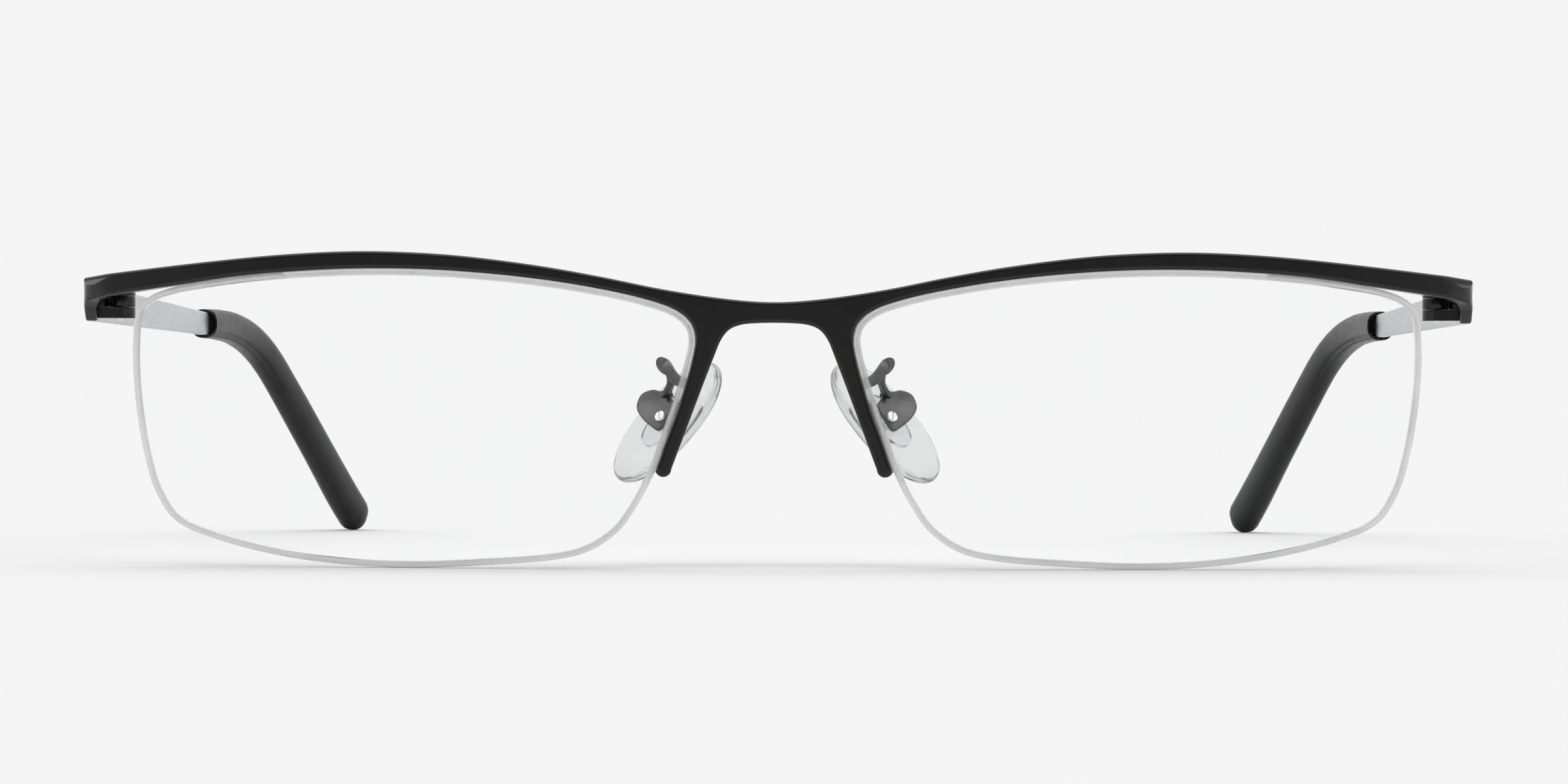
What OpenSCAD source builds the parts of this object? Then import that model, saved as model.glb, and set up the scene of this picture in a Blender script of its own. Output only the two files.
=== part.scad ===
// Half-rim eyeglasses: a metal front with a brow bar and two nasal legs, two lenses held
// from below by nylon cords, adjustable nose pads, and two temples that fold.
// Millimetres. The front faces -Y, the temples point to +Y, and +X is the wearer's left.
// The origin is on the surface that the glasses stand on, under the middle of their box.

/* [Front] */
// Width of the front, end piece to end piece
front_w = 138; // [130:1:146]
// Height of the brow bar's top above the lowest point of the lenses
front_h = 31; // [29:0.5:33]
// Depth of the front's metal
bar_t = 1.9; // [1.8:0.1:2.4]
// Radius of the curve that the lenses and the front follow, seen from above
wrap_r = 130; // [110:5:200]

/* [Lenses] */
// Thickness of each lens
lens_t = 1.6; // [1.4:0.1:1.7]
// Diameter of the nylon cord
cord_d = 0.6; // [0.5:0.05:0.7]

/* [Hinges] */
// Distance from the end piece's outer face in to the hinge axis
hinge_in = 3.3; // [3.2:0.1:3.6]
// Distance from the frontmost plane of the lenses back to the hinge axis
hinge_back = 11.8; // [11.8:0.1:12.5]
// Outer radius of the knuckles
knuckle_r = 1.35; // [1.25:0.05:1.4]
// Radius of the hinge screws
screw_r = 0.6; // [0.5:0.05:0.65]

/* [Temples] */
// Thickness of the temple bars
temple_t = 1; // [0.8:0.1:1.2]
// Height of the temple bars at the hinge
temple_h = 3.7; // [3.4:0.1:3.8]
// Height of the temple bars where they enter the tips
temple_mouth_h = 2.6; // [2.4:0.1:2.7]

/* [Nose pads] */
// Length of each pad
pad_len = 15; // [13:0.1:15.5]
// Width of each pad
pad_w = 7.4; // [6.5:0.1:8]
// Lean of the pads' tops towards the nose, in degrees
pad_lean = 41; // [38:1:43]
// Turn of the pads towards the nose, in degrees
pad_splay = 43; // [40:1:46]

/* [Hidden] */

// The outlines below are drawn for a front 138 wide and 31 high, and scaled to the size above.
sx = front_w / 138;
sz = front_h / 31;
steps = 4;
clear = 0.03;

// Depth of the whole, from the lenses' front to the ends of the tips, which sets the origin
overall_depth = 133.9;
middle_y = overall_depth / 2 - bar_t / 2;

// ---- Outlines, [x, z] on the wearer's left, the front seen from behind the plane y = 0 ----
bar_top = [[0, 26.05], [5, 26.4], [11, 27.3], [17, 28.5], [23, 29.55], [30, 30.45], [36, 30.87],
           [42, 30.95], [49, 30.6], [57, 29.85], [66, 28.85]];
bar_bottom = [[66, 26.65], [62, 27.22], [57.5, 27.87]];
// From the place where the cord leaves the bar, along the metal, to the leg's end
rim_metal = [[57.5, 27.87], [52, 28.62], [46, 29.07], [40, 29.27], [34, 29.17], [28, 28.77],
             [22, 28.1], [17, 27.28], [13, 26.4], [10, 25.4], [8.3, 24.1], [7.75, 22.4], [8.1, 20.2],
             [8.75, 17.8], [9.6, 15.1], [10.6, 12.4], [11.6, 9.6]];
// From the leg's end, round the free edge of the lens, back to the bar
rim_free = [[13.2, 6.4], [15.2, 3.6], [18.2, 1.6], [22, 0.75], [28, 0.3], [35, 0], [42, 0.25],
            [49, 1.15], [55.4, 2.75], [59.3, 4.5], [61.4, 7.6], [62.5, 11.2], [63.2, 15],
            [63.6, 18.8], [63.65, 22], [63.35, 24.9], [62.3, 26.35], [60.3, 27.27]];
nose_side = [[10.06, 9.7], [8.6, 13.6], [7.1, 17.6], [5.95, 20.6], [5.25, 22.3], [4.4, 23.35],
             [3.2, 23.83], [1.7, 23.98], [0, 24.02]];
leg_end = [10.86, 9.72];
leg_end_r = 0.8;
// The front's outline ends flat at its corners, which turn back into the end pieces
corner_top = [70, 28.55];
corner_bottom = [70, 26.3];

// ---- Plan of the front ----
wrap_x = 25 * sx;
bridge_half = 14 * sx;
bridge_push = bridge_half / 2 * wrap_x / sqrt(wrap_r * wrap_r - wrap_x * wrap_x);
end_x = front_w / 2 - bar_t / 2;
corner_r = 2;
corner_a = asin((end_x - 1.3 - wrap_x) / wrap_r);
corner_x = end_x - corner_r * (1 - sin(corner_a));
corner_y = lens_y(corner_x) + corner_r * cos(corner_a);
end_y = hinge_back - 1.5;
// The end pieces are thinner than the bar
end_t = 1.2;
split_y = corner_y - 1.2;

// ---- Hinges ----
hinge_x = front_w / 2 - hinge_in;
hinge_top = 27.85 * sz;
hinge_bottom = 24.5 * sz;
knuckle_gap = 0.04;
// Thickness of the block that joins each knuckle to its leaf
web_t = 1.9;
knuckle_h = (hinge_top - hinge_bottom - 2 * knuckle_gap) / 3;
end_inner_x = front_w / 2 - end_t;
front_bore_r = screw_r + 0.02;
temple_bore_r = screw_r + 0.05;
leaf_t = 0.7;

// ---- Temples and tips ----
temple_z = 26.05 * sz;
temple_y = end_y + 0.15;
mouth = [67.25 * sx, 81.5, 24.95 * sz];
temple_x = front_w / 2 - temple_t / 2;
tang_y = 92;
tang_t = 0.8;
tang_h = 2;
// The bar leans in as it goes back, so its tang ends further in than its mouth
tang_x = mouth[0] + (mouth[0] - temple_x) * (tang_y - mouth[1]) / (mouth[1] - temple_y);
// The tip's middle line and its width and height: [x, y, z, width, height]
tip_line = [[67.05, 81.5, 24.95, 2.9, 3.3], [66.6, 89, 24.9, 2.9, 3.5], [65.8, 96.5, 24.5, 3, 3.7],
            [64.6, 103, 23.2, 3, 4], [63.2, 108, 20.8, 3, 4.2], [61.4, 113.5, 16.6, 3, 4.3],
            [58.9, 120.3, 10.6, 3.1, 4.4], [56.7, 127, 5.1, 3.4, 4.5], [55.4, 130.9, 2.1, 3.6, 4.3]];
tip_sides = 16;
tip_end_r = 2;

// ---- Nose pads ----
pad_at = [10.7 * sx, 10.2, 14.1 * sz];
pad_t = 2.4;
core_t = 0.8;
core_w = 3.2;
core_len = 6.4;
boss_r = 0.9;
plate_t = 0.5;
plate_y = -1.9;
pad_screw_r = 0.42;
pad_bore_r = 0.48;
pad_head_r = 0.55;
// The screw's place on the pad, across and along it
pad_screw_at = [-0.4, 0];

// ---- Functions ----
function lens_y(x) = wrap_r - sqrt(wrap_r * wrap_r - pow(abs(x) - wrap_x, 2));
function front_y(x) = lens_y(x) - bridge_push * pow(max(0, 1 - abs(x) / bridge_half), 2);
function fit(p) = [p[0] * sx, p[1] * sz];
function fits(list) = [for (p = list) fit(p)];
function turned(list) = [for (i = [len(list) - 1:-1:0]) list[i]];
function flipped(list) = [for (p = list) [-p[0], p[1]]];
function bend(a, b, c, d, t) =
  (2 * b + (c - a) * t + (2 * a - 5 * b + 4 * c - d) * t * t + (3 * b - a - 3 * c + d) * t * t * t) / 2;
// A smooth curve through the points of a list
function curve(list, n) = let (last = len(list) - 1)
  [for (i = [0:last - 1], j = [0:n - 1])
     bend(list[max(i - 1, 0)], list[i], list[i + 1], list[min(i + 2, last)], j / n),
   list[last]];
// A smooth closed curve through the points of a list
function loop(list, n) = let (m = len(list))
  [for (i = [0:m - 1], j = [0:n - 1])
     bend(list[(i + m - 1) % m], list[i], list[(i + 1) % m], list[(i + 2) % m], j / n)];
function unit(v) = v / norm(v);
// The left-hand normal of a closed outline at point i, which points into the lens
function inward(list, i) = let (m = len(list), t = unit(list[(i + 1) % m] - list[(i + m - 1) % m]))
  [-t[1], t[0]];
function inset(list, d) = [for (i = [0:len(list) - 1]) list[i] + d * inward(list, i)];
// An open line moved sideways by d, which is a number or a list with one for each point
function beside(list, d) = let (last = len(list) - 1)
  [for (i = [0:last]) let (t = unit(list[min(i + 1, last)] - list[max(i - 1, 0)]))
     list[i] + (is_list(d) ? d[i] : d) * [t[1], -t[0]]];
function mirrored(half) = concat(turned(flipped(part(half, 1, len(half) - 1))), half);
function part(list, from, to) = [for (i = [from:to]) list[i % len(list)]];
function arc(at, r, a0, a1, n) = [for (i = [0:n]) let (a = a0 + (a1 - a0) * i / n)
  at + r * [cos(a), sin(a)]];
function oval(w, h, n) = [for (i = [0:n - 1]) let (a = 360 * i / n) [w / 2 * cos(a), h / 2 * sin(a)]];

// ---- The lens's rim, which the front, the liner, the lens and the cord share ----
rim = loop(fits(concat(rim_metal, rim_free)), steps);
leg_i = (len(rim_metal) - 1) * steps;
liner_from = 2 * steps - 1;
liner_to = leg_i - 3 * steps;
cord_from = leg_i - 2 * steps;
cord_to = len(rim) + steps + 2;
lens_gap = 0.3;
groove_in = 0.9;
groove_w = 0.74;
liner_w = 1.2;
liner_base = 0.27;
liner_rib = 0.82;

// The middle line of the front in plan, from one end piece to the other
wrap_steps = 25;
turn_steps = 6;
plan = mirrored(concat(
  [for (i = [0:wrap_steps]) let (x = corner_x * i / wrap_steps) [x, front_y(x)]],
  [for (i = [1:turn_steps]) let (a = corner_a + (90 - corner_a) * i / turn_steps)
     [end_x - corner_r + corner_r * sin(a), corner_y - corner_r * cos(a)]],
  [[end_x, end_y]]));
// How far the front's back face is from that line, point by point, as the end pieces thin
inner_half = [for (i = [0:wrap_steps + turn_steps + 1])
  let (share = min(1, max(0, (i - wrap_steps) / turn_steps))) -bar_t / 2 + (bar_t - end_t) * share];
inner_d = concat(turned(part(inner_half, 1, len(inner_half) - 1)), inner_half);

front_half = concat(
  curve(fits(bar_top), steps),
  [fit(corner_top), fit(corner_bottom)],
  curve(fits(bar_bottom), 2),
  part(rim, 1, leg_i - 1),
  arc(fit(leg_end), leg_end_r, -20, -160, 6),
  curve(fits(nose_side), 2));

// ---- Shared shapes ----
module place() translate([0, -middle_y, 0]) children();
// The wearer's left is drawn, and the right is its mirror image
module side(s) place() scale_x(s) children();
module scale_x(s) if (s > 0) children(); else mirror([1, 0, 0]) children();
// A prism along Y of an [x, z] outline
module along_y(y0, y1) translate([0, y1, 0]) rotate([90, 0, 0]) linear_extrude(y1 - y0) children();
// A prism along X of a [y, z] outline
module along_x(x0, x1) translate([x0, 0, 0]) rotate([90, 0, 90]) linear_extrude(x1 - x0) children();
// A wall of thickness t that follows the lens's curve
module wrap_wall(t) translate([wrap_x, wrap_r, -1]) linear_extrude(front_h + 4) difference() {
  circle(r = wrap_r + t / 2, $fn = 360);
  circle(r = wrap_r - t / 2, $fn = 360);
}
// A solid through a list of rings, each a list of points
module loft(rings) {
  m = len(rings[0]);
  last = len(rings) - 1;
  polyhedron(
    points = [for (r = rings, p = r) p],
    faces = concat(
      [[for (j = [0:m - 1]) j]],
      [for (i = [0:last - 1], j = [0:m - 1]) let (a = i * m + j, b = i * m + (j + 1) % m) [a, a + m, b]],
      [for (i = [0:last - 1], j = [0:m - 1]) let (a = i * m + j, b = i * m + (j + 1) % m) [b, a + m, b + m]],
      [[for (j = [m - 1:-1:0]) last * m + j]]));
}
// The pad's own frame: X across it, Y through it towards the nose, Z along it
module on_pad() translate(pad_at) rotate([0, -pad_lean, 0]) rotate([0, 0, pad_splay]) children();
// An axis through the pad's screw, from y0 to y1 in the pad's frame
module on_pad_screw(y0, y1, r) translate([pad_screw_at[0], y1, pad_screw_at[1]]) rotate([90, 0, 0])
  cylinder(r = r, h = y1 - y0, $fn = 48);
module knuckle(z0, z1, r, bore) translate([hinge_x, hinge_back, z0]) difference() {
  children();
  translate([0, 0, -1]) cylinder(r = bore, h = z1 - z0 + 2, $fn = 48);
}

// ---- Front ----
module front_frame() color("#2b2928") place() intersection() {
  linear_extrude(front_h + 4)
    polygon(concat(beside(plan, bar_t / 2), turned(beside(plan, inner_d))));
  union() {
    along_y(-3, split_y)
      polygon(concat(front_half, turned(flipped(part(front_half, 1, len(front_half) - 2)))));
    for (s = [-1, 1]) scale_x(s) along_x(end_x - 3, end_x + 2) end_outline();
  }
}

// The side view of an end piece, which grows down to the temple's height
module end_outline() {
  top = corner_top[1] * sz;
  bottom = corner_bottom[1] * sz;
  temple_top = temple_z + temple_h / 2;
  temple_bottom = temple_z - temple_h / 2;
  polygon([[split_y, bottom], [split_y + 0.5, bottom - 0.25], [end_y - 1.2, temple_bottom + 0.55],
           [end_y - 0.5, temple_bottom], [end_y, temple_bottom], [end_y, temple_top],
           [end_y - 0.9, temple_top + 0.25], [split_y + 0.8, top], [split_y, top]]);
}

// A strip against the metal, with a rib that fills the lens's groove and stops short of its ends
module rim_liner(s) color("#dfe3e2") side(s) {
  edge = part(rim, liner_from, liner_to);
  rib_edge = part(rim, liner_from + 1, liner_to - 1);
  intersection() {
    wrap_wall(liner_w);
    along_y(-3, 9) polygon(concat(beside(edge, -clear), turned(beside(edge, -liner_base))));
  }
  intersection() {
    wrap_wall(groove_w - 0.1);
    along_y(-3, 9) polygon(concat(beside(rib_edge, 0.04 - liner_base), turned(beside(rib_edge, -liner_rib))));
  }
}

module lens(s) color("#eef3f4", 0.3) side(s) difference() {
  intersection() {
    wrap_wall(lens_t);
    along_y(-3, 11) polygon(inset(rim, lens_gap));
  }
  intersection() {
    wrap_wall(groove_w);
    along_y(-3, 11) difference() {
      polygon(inset(rim, 0.05));
      polygon(inset(rim, groove_in));
    }
  }
}

module nylon_cord(s) color("#e6e9e8") side(s) loft(turned([for (k = [cord_from:cord_to]) let (
    i = k % len(rim),
    n = inward(rim, i),
    c = rim[i] + n * (cord_d / 2 + 0.01))
  [for (j = [0:7]) let (a = 360 * j / 8, r = cord_d / 2)
     [c[0] + r * cos(a) * n[0], lens_y(c[0]) + r * sin(a), c[1] + r * cos(a) * n[1]]]]));

// ---- Nose pads ----
// The arm leaves the leg's back, loops up and back, and comes down to the pad's plate.
module pad_arm(s) color("#5a5b5e") side(s) {
  arm_line = [[7.8, 1.6, 18], [8.7, 2.6, 18.1], [9.6, 3.2, 18.4], [10.2, 3.7, 19], [10.7, 4.3, 19.7],
              [10.9, 5.1, 20.1], [10.8, 6.2, 20], [10.5, 7.3, 19.3], [10.4, 8.2, 18.4], [10.7, 9, 17.6],
              [11.1, 9.5, 16.8]];
  arm_across = [-0.7, 0, 0.7];
  line = curve([for (p = arm_line) [p[0] * sx, p[1], p[2] * sz]], 3);
  last = len(line) - 1;
  difference() {
    union() {
      loft([for (i = [0:last]) let (
          t = unit(line[min(i + 1, last)] - line[max(i - 1, 0)]),
          e = unit(arm_across - (arm_across * t) * t),
          f = cross(t, e))
        [for (q = oval(1, 0.6, 8)) line[i] + q[0] * e + q[1] * f]]);
      on_pad() along_y(plate_y, plate_y + plate_t) pad_plate_outline();
    }
    on_pad() on_pad_screw(plate_y - 1, plate_y + plate_t + 1, pad_bore_r);
  }
}

module pad_plate_outline() translate(pad_screw_at) polygon(curve(
  [[-0.65, 0.35], [-0.8, -1.1], [0.7, -1.4], [2.4, -1.35], [3.7, -0.9], [4.3, 0.3], [3.65, 1.4],
   [2.6, 1.9], [2, 2.5], [1.2, 2.5], [0.9, 2.1], [-0.35, 1.75], [-0.65, 0.35]], 2));

module pad_screw(s) color("#c9c7c4") side(s) on_pad() {
  on_pad_screw(plate_y - 0.02, -0.6, pad_screw_r);
  on_pad_screw(plate_y - 0.32, plate_y - 0.02, pad_head_r);
}

module pad_core(s) color("#e4e8e8") side(s) on_pad() difference() {
  union() {
    along_y(-0.9, -0.9 + core_t) polygon(oval(core_w, core_len, 32));
    on_pad_screw(plate_y + plate_t + clear, -0.5, boss_r);
  }
  on_pad_screw(plate_y - 1, -0.55, pad_screw_r);
}

module nose_pad(s) color("#dde2e2", 0.6) side(s) on_pad() difference() {
  hull() {
    along_y(-1.05, -0.95) polygon(oval(pad_w * 0.72, pad_len * 0.8, 32));
    along_y(-0.4, -0.2) polygon(oval(pad_w, pad_len, 32));
    along_y(0.6, 0.7) polygon(oval(pad_w * 0.85, pad_len * 0.9, 32));
    along_y(1.1, pad_t - 1.1) polygon(oval(pad_w * 0.55, pad_len * 0.7, 32));
  }
  along_y(-0.9 - clear, -0.9 + core_t + clear) polygon(oval(core_w + 2 * clear, core_len + 2 * clear, 32));
  on_pad_screw(-2, -0.5, boss_r + clear);
}

// ---- Hinges ----
// Two knuckles with a gap for the temple's one, joined by a leaf on the end piece
module front_hinge(s) color("#1d1c1c") side(s) {
  for (z = [hinge_bottom, hinge_top - knuckle_h])
    knuckle(z, z + knuckle_h, knuckle_r, front_bore_r) union() {
      cylinder(r = knuckle_r, h = knuckle_h, $fn = 48);
      translate([-0.4, -web_t, 0]) cube([end_inner_x - hinge_x + 0.4, web_t, knuckle_h]);
    }
  leaf_y = corner_y + 0.15;
  translate([end_inner_x - leaf_t, leaf_y, hinge_bottom + knuckle_h - 0.01])
    cube([leaf_t, end_y - leaf_y, knuckle_h + 2 * knuckle_gap + 0.02]);
}

module temple_hinge(s) color("#1d1c1c") side(s) {
  z0 = hinge_bottom + knuckle_h + knuckle_gap;
  face_x = temple_x - temple_t / 2 - hinge_x;
  leaf_len = 5;
  knuckle(z0, z0 + knuckle_h, knuckle_r, temple_bore_r) union() {
    cylinder(r = knuckle_r, h = knuckle_h, $fn = 48);
    cube([face_x - leaf_t + 0.01, knuckle_r, knuckle_h]);
    translate([face_x - leaf_t, 0.8, 0]) cube([leaf_t - 2 * clear, leaf_len, knuckle_h]);
  }
}

// A slotted screw from above, whose end shows below the lowest knuckle
module hinge_screw(s) color("#a8a8a8") side(s) translate([hinge_x, hinge_back, 0]) difference() {
  head_r = 1.05;
  head_t = 0.4;
  slot_w = 0.24;
  union() {
    translate([0, 0, hinge_bottom - 0.2])
      cylinder(r = screw_r, h = hinge_top - hinge_bottom + 0.3, $fn = 48);
    translate([0, 0, hinge_top + 0.02]) cylinder(r = head_r, h = head_t, $fn = 48);
  }
  translate([-head_r - 1, -slot_w / 2, hinge_top + head_t / 2]) cube([2 * head_r + 2, slot_w, 1]);
}

// ---- Temples ----
// A flat bar that narrows to a tang inside the tip: its plan, cut to its side view
module temple(s) color("#b4b6b8") side(s) intersection() {
  linear_extrude(front_h + 4) polygon([
    [temple_x + temple_t / 2, temple_y], [mouth[0] + temple_t / 2, mouth[1]],
    [mouth[0] + tang_t / 2, mouth[1]], [tang_x + tang_t / 2, tang_y],
    [tang_x - tang_t / 2, tang_y], [mouth[0] - tang_t / 2, mouth[1]],
    [mouth[0] - temple_t / 2, mouth[1]], [temple_x - temple_t / 2, temple_y]]);
  along_x(mouth[0] - 5, temple_x + 5) polygon([
    [temple_y, temple_z - temple_h / 2], [mouth[1], mouth[2] - temple_mouth_h / 2],
    [mouth[1], mouth[2] - tang_h / 2], [tang_y, mouth[2] - tang_h / 2],
    [tang_y, mouth[2] + tang_h / 2], [mouth[1], mouth[2] + tang_h / 2],
    [mouth[1], mouth[2] + temple_mouth_h / 2], [temple_y, temple_z + temple_h / 2]]);
}

module temple_tip(s) color("#2e3033") side(s) difference() {
  tip_solid();
  translate([0, 0, mouth[2] - tang_h / 2 - clear]) linear_extrude(tang_h + 2 * clear) polygon([
    [mouth[0] + tang_t / 2 + clear, mouth[1] - 1], [tang_x + tang_t / 2 + clear, tang_y + clear],
    [tang_x - tang_t / 2 - clear, tang_y + clear], [mouth[0] - tang_t / 2 - clear, mouth[1] - 1]]);
}

module tip_solid() {
  line = curve([for (p = tip_line) [p[0] * sx, p[1], p[2] * sz, p[3], p[4]]], 3);
  last = len(line) - 1;
  xyz = [for (p = line) [p[0], p[1], p[2]]];
  way = unit(xyz[last] - xyz[last - 1]);
  ends = [for (a = [30, 55, 75]) [xyz[last] + way * tip_end_r * sin(a), line[last] * cos(a)]];
  loft(concat(
    [for (i = [0:last]) tip_ring(xyz[i], unit(xyz[min(i + 1, last)] - xyz[max(i - 1, 0)]), line[i])],
    [for (e = ends) tip_ring(e[0], way, e[1])]));
}

function tip_ring(at, way, size) = let (e = unit(cross(way, [0, 0, 1])), f = cross(way, e))
  [for (q = oval(size[3], size[4], tip_sides)) at + q[0] * e + q[1] * f];

front_frame();
rim_liner(1);  // left_rim_liner
rim_liner(-1);  // right_rim_liner
lens(1);  // left_lens
lens(-1);  // right_lens
nylon_cord(1);  // left_nylon_cord
nylon_cord(-1);  // right_nylon_cord
pad_arm(1);  // left_pad_arm
pad_arm(-1);  // right_pad_arm
pad_screw(1);  // left_pad_screw
pad_screw(-1);  // right_pad_screw
pad_core(1);  // left_pad_core
pad_core(-1);  // right_pad_core
nose_pad(1);  // left_nose_pad
nose_pad(-1);  // right_nose_pad
front_hinge(1);  // left_front_hinge
front_hinge(-1);  // right_front_hinge
temple_hinge(1);  // left_temple_hinge
temple_hinge(-1);  // right_temple_hinge
hinge_screw(1);  // left_hinge_screw
hinge_screw(-1);  // right_hinge_screw
temple(1);  // left_temple
temple(-1);  // right_temple
temple_tip(1);  // left_temple_tip
temple_tip(-1);  // right_temple_tip
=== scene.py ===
import math

import bmesh
import bpy
import numpy as np
from mathutils import Matrix, Vector
from mathutils.geometry import delaunay_2d_cdt


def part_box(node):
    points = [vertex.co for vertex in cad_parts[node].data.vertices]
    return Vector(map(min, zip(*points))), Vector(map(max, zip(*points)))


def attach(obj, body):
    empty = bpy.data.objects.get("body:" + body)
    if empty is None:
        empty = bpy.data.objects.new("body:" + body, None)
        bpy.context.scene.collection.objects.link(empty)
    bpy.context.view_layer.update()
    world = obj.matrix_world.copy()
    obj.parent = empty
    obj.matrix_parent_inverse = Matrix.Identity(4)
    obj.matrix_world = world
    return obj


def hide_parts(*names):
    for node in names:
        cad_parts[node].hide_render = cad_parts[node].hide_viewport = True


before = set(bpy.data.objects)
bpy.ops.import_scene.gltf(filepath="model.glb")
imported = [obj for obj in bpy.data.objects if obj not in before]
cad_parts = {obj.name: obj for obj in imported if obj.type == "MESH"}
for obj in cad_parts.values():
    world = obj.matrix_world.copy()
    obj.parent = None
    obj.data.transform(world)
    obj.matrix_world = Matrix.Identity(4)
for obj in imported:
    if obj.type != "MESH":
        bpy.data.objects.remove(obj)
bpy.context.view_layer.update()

# Half-rim eyeglasses: the looks of every piece of the CAD model. Lengths are in millimetres and
# turn into metres where a mesh is made. x runs to the wearer's left, y back to the temple tips
# from the front of the lenses' middle surface, and z up from the table. Shapes are drawn for the
# wearer's left, and the right is their mirror image.
MM = 0.001

# ---- Sizes of the front, as the CAD model has them ----
FRONT_LOW, FRONT_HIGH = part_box("front_frame")
FRONT_W = (FRONT_HIGH[0] - FRONT_LOW[0]) / MM
BAR_T = 1.9
FRONT_Y = FRONT_LOW[1] / MM + BAR_T / 2
# The cylinder that a lens lies on: its radius, and the x of its frontmost line
WRAP_R = 130
WRAP_X = 25
# How far from the middle the bridge starts to be pushed forward
BRIDGE_HALF = 14
# The middle line of an end piece, the y of its end, and its thickness
END_X = FRONT_W / 2 - BAR_T / 2
END_Y = 10.3
END_T = 1.2
# The corner where the front turns back: its radius, about how far inside END_X it starts, and the
# front's angle there
CORNER_R = 2
CORNER_IN = 1.3
CORNER_A = math.asin((END_X - CORNER_IN - WRAP_X) / WRAP_R)
# How far the front's rounded edge goes through its thickness and over its face
EDGE_R = 0.35
EDGE_RUN = 0.3
# Steps from one given point of an outline to the next, and along the end piece
CURVE_STEPS = 8
END_STEPS = 5

# ---- Outlines of the front, [x, z] ----
BAR_TOP = [
    [0, 26.05], [5, 26.4], [11, 27.3], [17, 28.5], [23, 29.55], [30, 30.45], [36, 30.87],
    [42, 30.95], [49, 30.6], [57, 29.85], [66, 28.85],
]
BAR_BOTTOM = [[66, 26.65], [62, 27.22], [57.5, 27.87]]
RIM_METAL = [
    [57.5, 27.87], [52, 28.62], [46, 29.07], [40, 29.27], [34, 29.17], [28, 28.77], [22, 28.1],
    [17, 27.28], [13, 26.4], [10, 25.4], [8.3, 24.1], [7.75, 22.4], [8.1, 20.2], [8.75, 17.8],
    [9.6, 15.1], [10.6, 12.4], [11.6, 9.6],
]
RIM_FREE = [
    [13.2, 6.4], [15.2, 3.6], [18.2, 1.6], [22, 0.75], [28, 0.3], [35, 0], [42, 0.25],
    [49, 1.15], [55.4, 2.75], [59.3, 4.5], [61.4, 7.6], [62.5, 11.2], [63.2, 15], [63.6, 18.8],
    [63.65, 22], [63.35, 24.9], [62.3, 26.35], [60.3, 27.27],
]
NOSE_SIDE = [
    [10.06, 9.7], [8.6, 13.6], [7.1, 17.6], [5.95, 20.6], [5.25, 22.3], [4.4, 23.35],
    [3.2, 23.83], [1.7, 23.98], [0, 24.02],
]
# The rounded end of a leg, with the angles where its arc starts and ends
LEG_END = [10.86, 9.72]
LEG_END_R = 0.8
LEG_END_FROM = -20
LEG_END_TO = -160
# The end piece's side view, [y, z], and its end's corners. The lower corner turns on to an angle.
END_TOP = [[8.4, 28.5], [9.3, 28.2]]
END_BOTTOM = [[8.4, 25.45], [7.5, 26.2]]
END_HIGH = 27.9
END_LOW = 24.2
END_CORNER_R = 0.6
END_CORNER_TO = -130

# ---- Lenses, liner and cord. Distances into the lens start at the rim's line. ----
LENS_T = 1.6
LENS_GAP = 0.3
LENS_BEVEL = 0.12
GROOVE_IN = 0.68
GROOVE_W = 0.74
GROOVE_R = 0.15
CORD_D = 0.6
CORD_GAP = 0.01
LINER_W = 1.2
LINER_GAP = 0.03
LINER_BASE = 0.27
LINER_RIB = 0.6
LINER_RIB_W = GROOVE_W - 0.1
LINER_R = 0.06
# The liner's first and last point, counted along the rim. The cord goes round the rest of it.
LINER_FROM = 13
LINER_TO = 109

# ---- Temples and tips ----
TEMPLE_T = 1
TEMPLE_H = 3.7
TEMPLE_Y = END_Y + 0.15
TEMPLE_Z = 26.05
# The radius of the bar's long edges and of its front end's, and how far that end is rounded
TEMPLE_R = 0.22
TEMPLE_END_R = 0.12
TEMPLE_SOFT = 0.15
# Where the bar enters the tip, its height there, and where it gives way to the tang
MOUTH = [67.25, 81.5, 24.95]
MOUTH_H = 2.6
TEMPLE_TO = MOUTH[1] + 1
# The tang inside the tip: its width and height, its edges, and where it starts and ends
TANG = [0.8, 2]
TANG_R = 0.1
TANG_FROM = MOUTH[1] + 1.2
TANG_TO = 92
# The tip's middle line and its width and height: [x, y, z, width, height]
TIP_LINE = [
    [67.25, 81.5, 24.95, 2.9, 3.3], [66.6, 89, 24.9, 2.9, 3.5], [65.8, 96.5, 24.5, 3, 3.7],
    [64.6, 103, 23.2, 3, 4], [63.2, 108, 20.8, 3, 4.2], [61.4, 113.5, 16.6, 3, 4.3],
    [58.9, 120.3, 10.6, 3.1, 4.4], [56.7, 127, 5.1, 3.4, 4.5], [55.4, 130.9, 2.1, 3.6, 4.3],
]
TIP_POWER = 2.4
TIP_END_R = 2
# The tip's hollow mouth: its wall, the rounding of its lip, how far its inner side stands back,
# and the width and height of the hollow's end
TIP_WALL = 0.3
TIP_LIP = 0.15
TIP_SCALLOP = 1.2
TIP_HOLLOW_END = [1, 2.1]
# The crease along the tip's lower inner edge: where it is around the section, its size, and the
# y where it ends and how far it fades before that
CREASE_AT = math.radians(228)
CREASE_SPREAD = 0.14
CREASE_DEPTH = 0.22
CREASE_END = 111
CREASE_FADE = 6

# ---- Nose pads and their arms ----
# The pad's middle, its lean outwards at the bottom, and its turn away from facing back
PAD_AT = Vector((10.7, 10.2, 14.1))
PAD_LEAN = math.radians(41)
PAD_SPLAY = math.radians(43)
PAD_LEN = 15
PAD_W = 7.4
PAD_POWER = 2.15
# The pad's widest layer, and how far it swells towards the nose and away from it
PAD_MID = -0.3
PAD_DOME = 1.6
PAD_BACK = 0.75
# The pad's layers are this many degrees apart, from one side of the widest layer to the other
PAD_LAYER = 6
PAD_LAST_LAYER = 84
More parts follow.
